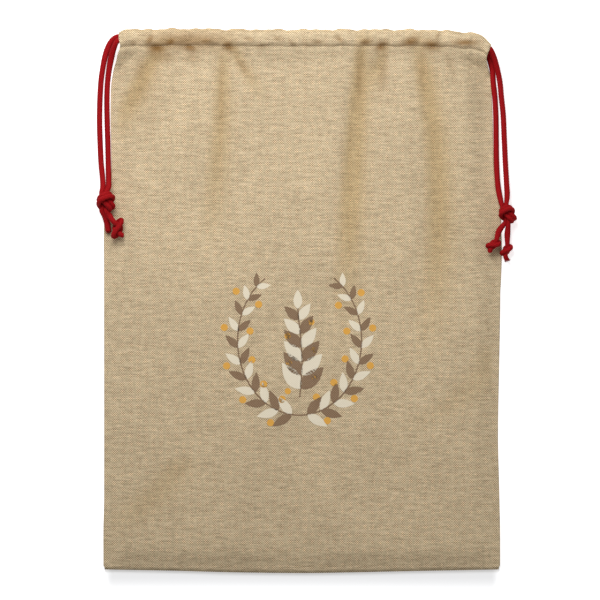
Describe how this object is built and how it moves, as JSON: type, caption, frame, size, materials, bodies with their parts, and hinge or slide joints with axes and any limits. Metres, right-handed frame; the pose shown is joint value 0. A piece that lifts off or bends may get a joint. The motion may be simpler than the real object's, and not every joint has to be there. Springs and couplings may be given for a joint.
{
  "type": "burlap drawstring sack",
  "caption": "Flat burlap sack with a folded casing round its mouth and red braided drawcords knotted at its upper corners.",
  "frame": {"origin": "under the middle of the sack, on the surface that it lies on", "axes": "+X to the right across the front, +Y up the sack towards its mouth, +Z out of the front, away from the surface"},
  "size_m": [0.5303, 0.6866, 0.0342],
  "materials": {
    "burlap": "plain woven burlap, tan with slubs",
    "cord": "matte red braided cord"
  },
  "bodies": {
    "root": {"front_panel": "burlap", "back_panel": "burlap", "drawcord_front": "cord", "drawcord_back": "cord"}
  },
  "joints": []
}
